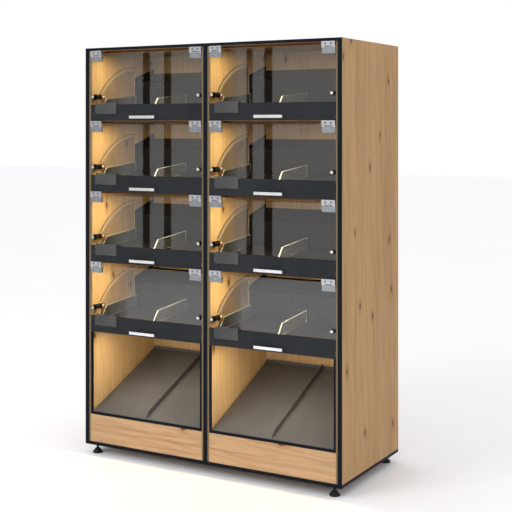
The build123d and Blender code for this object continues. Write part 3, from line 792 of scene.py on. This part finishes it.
# %% Geometry Nodes helpers
def new_tree(name, sizes):
    """A geometry tree with float inputs given as name and default, and a material input."""
    tree = bpy.data.node_groups.new(name, "GeometryNodeTree")
    tree.is_modifier = True
    ends = tree.interface
    ends.new_socket("Geometry", in_out="INPUT", socket_type="NodeSocketGeometry")
    for label, value in sizes.items():
        socket = ends.new_socket(label, in_out="INPUT", socket_type="NodeSocketFloat")
        socket.default_value = value
    ends.new_socket("Finish", in_out="INPUT", socket_type="NodeSocketMaterial")
    ends.new_socket("Geometry", in_out="OUTPUT", socket_type="NodeSocketGeometry")
    return tree, tree.nodes.new("NodeGroupInput")


def wire_up(tree, group, made, **labels):
    """Links a node's sockets to the tree's own inputs; an underline stands for a space."""
    for socket, label in labels.items():
        tree.links.new(group.outputs[label], made.inputs[socket.replace("_", " ")])


def end_tree(tree, group, geometry):
    """Ends a tree in Realize Instances and Set Material."""
    real = node(tree, "GeometryNodeRealizeInstances", Geometry=geometry)
    painted = node(tree, "GeometryNodeSetMaterial", Geometry=real.outputs[0],
                   Material=group.outputs["Finish"])
    output = tree.nodes.new("NodeGroupOutput")
    tree.links.new(painted.outputs[0], output.inputs["Geometry"])


def grown(piece_name, tree, finish, body, slot, points, **sizes):
    """Runs a tree over a few seed points and keeps the result as a plain mesh on one body."""
    seed_mesh = bpy.data.meshes.new(piece_name + "_seed")
    seed_mesh.from_pydata([tuple(point) for point in points], [], [])
    seed = bpy.data.objects.new(piece_name + "_seed", seed_mesh)
    scene.collection.objects.link(seed)
    modifier = seed.modifiers.new("grow", "NODES")
    modifier.node_group = tree
    values = {label.replace("_", " "): value for label, value in sizes.items()}
    values["Finish"] = finish
    for socket in tree.interface.items_tree:
        is_input = socket.item_type == "SOCKET" and socket.in_out == "INPUT"
        if is_input and socket.name in values:
            modifier[socket.identifier] = values[socket.name]
    graph = bpy.context.evaluated_depsgraph_get()
    mesh = bpy.data.meshes.new_from_object(seed.evaluated_get(graph), depsgraph=graph)
    mesh.name = piece_name
    bpy.data.objects.remove(seed)
    smooth_flats(mesh)
    print(piece_name, len(mesh.polygons), "faces")
    return add_piece(piece_name, mesh, body, slot)


print("tree helpers ready")

# %% [markdown]
# A screw head is a shallow cone with a hexagon cut out of its face. The tree cuts one head, turns
# it to face the front or the back, and sets a copy at both ends of a short line on every seed
# point, so a pair of screws comes from one point per hinge.

# %% Screw head tree
head_sides = 20
socket_sides = 6
head_top_share = 0.72
default_screw = {"Radius": 0.003, "Height": 0.0012, "Socket": 0.0014, "Half Spacing": 0.014}


def one_head(tree, group):
    """The head, with its socket cut out, looking up."""
    head = node(tree, "GeometryNodeMeshCone", Vertices=head_sides)
    wire_up(tree, group, head, Radius_Bottom="Radius", Depth="Height")
    top = node(tree, "ShaderNodeMath", {"operation": "MULTIPLY"}, i0=group.outputs["Radius"],
               i1=head_top_share)
    tree.links.new(top.outputs[0], head.inputs["Radius Top"])
    cutter = node(tree, "GeometryNodeMeshCylinder", Vertices=socket_sides)
    wire_up(tree, group, cutter, Radius="Socket", Depth="Height")
    rise = node(tree, "ShaderNodeCombineXYZ", Z=group.outputs["Height"])
    high = node(tree, "GeometryNodeTransform", Geometry=cutter.outputs["Mesh"],
                Translation=rise.outputs[0])
    cut = node(tree, "GeometryNodeMeshBoolean", {"operation": "DIFFERENCE"})
    tree.links.new(head.outputs["Mesh"], cut.inputs[0])
    tree.links.new(high.outputs[0], cut.inputs[1])
    return cut.outputs[0]


def screw_tree(name, turn):
    tree, group = new_tree(name, default_screw)
    faced = node(tree, "GeometryNodeTransform", Geometry=one_head(tree, group),
                 Rotation=(turn, 0.0, 0.0))
    away = node(tree, "ShaderNodeCombineXYZ", X=group.outputs["Half Spacing"]).outputs[0]
    back = node(tree, "ShaderNodeVectorMath", {"operation": "SCALE"}, i0=away, Scale=-1.0)
    ends = node(tree, "GeometryNodeMeshLine", {"mode": "END_POINTS", "count_mode": "TOTAL"},
                Count=2, Offset=away)
    tree.links.new(back.outputs[0], ends.inputs["Start Location"])
    pair = node(tree, "GeometryNodeInstanceOnPoints", Points=ends.outputs[0],
                Instance=faced.outputs[0])
    spread = node(tree, "GeometryNodeInstanceOnPoints", Points=group.outputs["Geometry"],
                  Instance=pair.outputs[0])
    end_tree(tree, group, spread.outputs[0])
    return tree


front_screws = screw_tree("front_screws", math.radians(90))
back_screws = screw_tree("back_screws", math.radians(-90))
print("two screw trees")

# %% [markdown]
# Two screws sit in the face of each leaf, and two smaller grub screws pinch each clamp on the pane.
# The leaves are all in one node, so their places are worked out from the flaps: each flap's
# fittings reach from hinge to hinge.

# %% Hinge screws
hinge_half = 0.0325
pane_thickness = 0.005
clamp_wall = 0.0055
leaf_screw = dict(Radius=0.0042, Height=0.0014, Socket=0.0022, Half_Spacing=0.014)
clamp_screw = dict(Radius=0.0024, Height=0.0010, Socket=0.0013, Half_Spacing=0.018)
leaf_screw_rise = 0.0150
clamp_screw_drop = 0.0185
leaf_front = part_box("hinge_leaves")[0].y
clamp_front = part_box("flap_left_1_glazing")[1].y - pane_thickness - clamp_wall
joint_place = {joint["child"]: Vector(joint["pos_m"]) for joint in frame["joints"]
               if "pos_m" in joint}
leaf_points = []
for flap in flaps:
    low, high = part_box(flap + "_fittings")
    axis = joint_place[flap]
    hinge_centres = (low.x + hinge_half, high.x - hinge_half)
    leaf_points += [(x, leaf_front, axis.z + leaf_screw_rise) for x in hinge_centres]
    clamp_points = [(x, clamp_front, axis.z - clamp_screw_drop) for x in hinge_centres]
    grown(flap + "_clamp_screws", front_screws, screw_steel, flap, "hinge_steel", clamp_points,
          **clamp_screw)
grown("hinge_leaf_screws", front_screws, screw_steel, "root", "hinge_steel", leaf_points,
      **leaf_screw)

# %% [markdown]
# The back panel is held by a row of screws round its edge. Their places are worked out at an even
# spacing along the four sides, and a pair with no spacing is one screw. The heads are nearly flush,
# so the unit can stand against a wall.

# %% Back panel screws
panel_screw = dict(Radius=0.0040, Height=0.0004, Socket=0.0018, Half_Spacing=0.0)
panel_low, panel_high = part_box("back_panel")
edge_inset = 0.018
across_count, up_count = 7, 10


def evenly(low, high, count):
    return [low + (high - low) * index / (count - 1) for index in range(count)]


side_columns = (panel_low.x + edge_inset, panel_high.x - edge_inset)
end_rows = (panel_low.z + edge_inset, panel_high.z - edge_inset)
panel_points = [(x, panel_high.y, z) for x in side_columns for z in evenly(*end_rows, up_count)]
panel_points += [(x, panel_high.y, z) for z in end_rows
                 for x in evenly(*side_columns, across_count)[1:-1]]
grown("back_panel_screws", back_screws, screw_steel, "root", "black_steel", panel_points,
      **panel_screw)

# %% [markdown]
# The stem of a levelling foot is threaded. A thin wire wound on the stem reads as a thread at any
# distance: the Spiral node makes its path and Curve to Mesh gives it body. The wire ends just
# inside the nut's bore, so the foot can screw up and down without cutting into it.

# %% Foot threads
steps_per_turn = 16
wire_sides = 4


def thread_tree():
    sizes = {"Radius": 0.006, "Wire": 0.0005, "Length": 0.017, "Turns": 10.0}
    tree, group = new_tree("foot_thread", sizes)
    spiral = node(tree, "GeometryNodeCurveSpiral", Resolution=steps_per_turn)
    wire_up(tree, group, spiral, Rotations="Turns", Start_Radius="Radius", End_Radius="Radius",
            Height="Length")
    wire = node(tree, "GeometryNodeCurvePrimitiveCircle", Resolution=wire_sides)
    wire_up(tree, group, wire, Radius="Wire")
    wound = node(tree, "GeometryNodeCurveToMesh", Curve=spiral.outputs[0])
    tree.links.new(wire.outputs[0], wound.inputs["Profile Curve"])
    wound.inputs["Fill Caps"].default_value = True
    placed = node(tree, "GeometryNodeInstanceOnPoints", Points=group.outputs["Geometry"],
                  Instance=wound.outputs[0])
    end_tree(tree, group, placed.outputs[0])
    return tree


thread = thread_tree()
thread_radius = 0.00560
thread_wire = 0.00023
thread_pitch = 0.00175
thread_margin = 0.001
for foot in feet:
    low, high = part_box(foot)
    middle = (low + high) / 2
    threaded = high.z - cone_top - thread_margin
    start = (middle.x, middle.y, cone_top)
    grown(foot + "_thread", thread, screw_steel, foot, "foot_plastic", [start],
          Radius=thread_radius, Wire=thread_wire, Length=threaded, Turns=threaded / thread_pitch)

# %% [markdown]
# A frosted strip closes each light channel. It is a long thin box with rounded edges, set in the
# channel's slot, and glows only dimly: seen from below it is a warm line, not a white bar.

# %% Lamp strips
def glow(name, colour, strength):
    material, tree, shader = new_material(name)
    dots = noise(tree, mapped(tree), 120.0)
    paler = tuple(min(1.0, channel * 1.1) for channel in colour)
    tree.links.new(ramp(tree, dots, (0.3, colour), (0.7, paler)), shader.inputs["Base Color"])
    shader.inputs["Emission Color"].default_value = (*colour, 1)
    shader.inputs["Emission Strength"].default_value = strength
    shader.inputs["Roughness"].default_value = 0.6
    return material


def box_piece(name, low, high, finish, body, slot, edge):
    """A long box with rounded edges, given by its corners."""
    shape = bmesh.new()
    size = Vector(high) - Vector(low)
    place = Matrix.Translation((Vector(low) + Vector(high)) / 2) @ Matrix.Diagonal((*size, 1))
    bmesh.ops.create_cube(shape, size=1.0, matrix=place)
    bmesh.ops.bevel(shape, geom=shape.edges[:], offset=edge, segments=2, profile=round_profile,
                    affect="EDGES")
    mesh = bpy.data.meshes.new(name)
    shape.to_mesh(mesh)
    shape.free()
    mesh.materials.append(finish)
    smooth_flats(mesh)
    return add_piece(name, mesh, body, slot)


lamp_glow = glow("lamp_glow", (0.75, 0.42, 0.20), 0.25)
strips_low, strips_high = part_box("light_strips")
partition_half = 0.032
end_gap = 0.002
slot_half = 0.0053
slot_depth = 0.0019
slot_inset = 0.0001
strip_edge = 0.0004
strip_height = 0.009
strip_middle_y = (strips_low.y + strips_high.y) / 2
ceiling_count = 5
strip_levels = [strips_high.z - row_pitch * index for index in range(ceiling_count)]
column_edges = ((strips_low.x, -partition_half), (partition_half, strips_high.x))
for column, (left, right) in enumerate(column_edges):
    for level, ceiling in enumerate(strip_levels):
        under = ceiling - strip_height
        box_piece(f"lamp_strip_{column}_{level}",
                  (left + end_gap, strip_middle_y - slot_half, under + slot_inset),
                  (right - end_gap, strip_middle_y + slot_half, under + slot_depth),
                  lamp_glow, "root", "light_channel", strip_edge)
print(len(column_edges) * ceiling_count, "lamp strips")

# %% [markdown]
# The light itself comes from a long warm area lamp just under each strip, because a lamp is sampled
# far better than a glowing mesh. The lamps stay out of the camera's sight and out of the panes'
# reflections. The top compartments need a little less light than the others, and the open bag bays
# about half.

# %% Lamps under every ceiling
warm = (1.0, 0.78, 0.48)
lamp_powers = (2.7, 3.2, 3.4, 3.5, 1.68)
lamp_shorter = 0.16
lamp_drop = 0.004
lamp_width = 0.010


def lamp(name, place, turn, size, power, colour):
    """A rectangular area lamp that looks down its own minus Z and shows in no reflection."""
    data = bpy.data.lights.new(name, "AREA")
    data.shape = "RECTANGLE"
    data.size, data.size_y = size
    data.energy = power
    data.color = colour
    made = bpy.data.objects.new(name, data)
    made.location = place
    made.rotation_euler = turn
    scene.collection.objects.link(made)
    made.visible_glossy = made.visible_transmission = False
    return made


for column, (left, right) in enumerate(column_edges):
    for level, ceiling in enumerate(strip_levels):
        place = ((left + right) / 2, strip_middle_y, ceiling - strip_height - lamp_drop)
        made = lamp(f"inner_lamp_{column}_{level}", place, (0, 0, 0),
                    (right - left - lamp_shorter, lamp_width), lamp_powers[level], warm)
        made.visible_camera = False
print(len(column_edges) * ceiling_count, "warm lamps")

# %% [markdown]
# The room is a white studio: an even sky, one broad key lamp at the front left, and a pale floor.
# The key makes the front lighter than the right-hand side.

# %% Studio
sky_white = (1.0, 1.0, 1.0, 1)
world = bpy.data.worlds.new("studio")
world.use_nodes = True
sky = world.node_tree.nodes["Background"]
sky.inputs["Color"].default_value = sky_white
sky.inputs["Strength"].default_value = 1.0
scene.world = world

key_place = (-2.6, -5.4, 3.4)
key_turn = (math.radians(62), 0, math.radians(-28))
key_size = (3.0, 3.0)
key_power = 150
key_colour = (0.97, 0.985, 1.0)
lamp("front_key", key_place, key_turn, key_size, key_power, key_colour)

floor_half = 30.0
floor_mesh = bpy.data.meshes.new("floor")
floor_mesh.from_pydata([(-floor_half, -floor_half, 0), (floor_half, -floor_half, 0),
                        (floor_half, floor_half, 0), (-floor_half, floor_half, 0)],
                       [], [(0, 1, 2, 3)])
floor = bpy.data.objects.new("floor", floor_mesh)
scene.collection.objects.link(floor)
floor_paint, tree, shader = new_material("floor_paint")
cloud = noise(tree, mapped(tree), 0.8, detail=3.0)
paint = ramp(tree, cloud, (0.3, (0.93, 0.932, 0.95)), (0.7, (0.955, 0.957, 0.975)))
tree.links.new(paint, shader.inputs["Base Color"])
shader.inputs["Roughness"].default_value = 0.7
floor_mesh.materials.append(floor_paint)
print("sky, key lamp and floor ready")

# %% [markdown]
# Flat sheets show whatever they mirror, and on the real unit that is dark upright bars and a darker
# left edge in every pane. So four narrow dark cards and two fading ones stand in front of the unit,
# where only reflections see them. One upright card gives its bar in all four rows at once, because
# the panes lie in one plane.

# %% Dark cards
card_y = -2.306
card_low, card_high = 0.7, 2.3
fading_low, fading_high = 0.0, 2.5
card_sides = ((-1.80, -1.74), (-1.62, -1.56), (-0.956, -0.909), (-0.82, -0.76))
fading_sides = ((-2.45, -2.149, -1.944), (-1.272, -1.104, -0.997))


def card(name, left, right, low, high, paint):
    """An upright card, facing the unit, that only reflections see."""
    mesh = bpy.data.meshes.new(name)
    mesh.from_pydata([(left, card_y, low), (right, card_y, low), (right, card_y, high),
                      (left, card_y, high)], [], [(0, 1, 2, 3)])
    mesh.materials.append(paint)
    made = bpy.data.objects.new(name, mesh)
    scene.collection.objects.link(made)
    made.visible_camera = made.visible_diffuse = made.visible_shadow = False


def fading(name, dark_until, light_from):
    """Black up to one place along X, then as bright as the sky from the next."""
    material, tree, shader = new_material(name)
    along_x = node(tree, "ShaderNodeSeparateXYZ", Vector=mapped(tree)).outputs["X"]
    share = node(tree, "ShaderNodeMapRange", i0=along_x, i1=dark_until, i2=light_from).outputs[0]
    tree.links.new(ramp(tree, share, (0.0, 0.0), (1.0, 1.0)), shader.inputs["Emission Color"])
    shader.inputs["Emission Strength"].default_value = 1.0
    shader.inputs["Base Color"].default_value = (0, 0, 0, 1)
    shader.inputs["Specular IOR Level"].default_value = 0.0
    return material


card_black, tree, shader = new_material("card_black")
cloud = noise(tree, mapped(tree), 2.0, detail=1.0)
tree.links.new(ramp(tree, cloud, (0.3, 0.005), (0.7, 0.008)), shader.inputs["Base Color"])
shader.inputs["Roughness"].default_value = 1.0
for number, (left, right) in enumerate(card_sides):
    card(f"card_{number}", left, right, card_low, card_high, card_black)
for number, (left, dark_until, right) in enumerate(fading_sides):
    paint = fading(f"fading_{number}", dark_until, right)
    card(f"fading_card_{number}", left, right, fading_low, fading_high, paint)
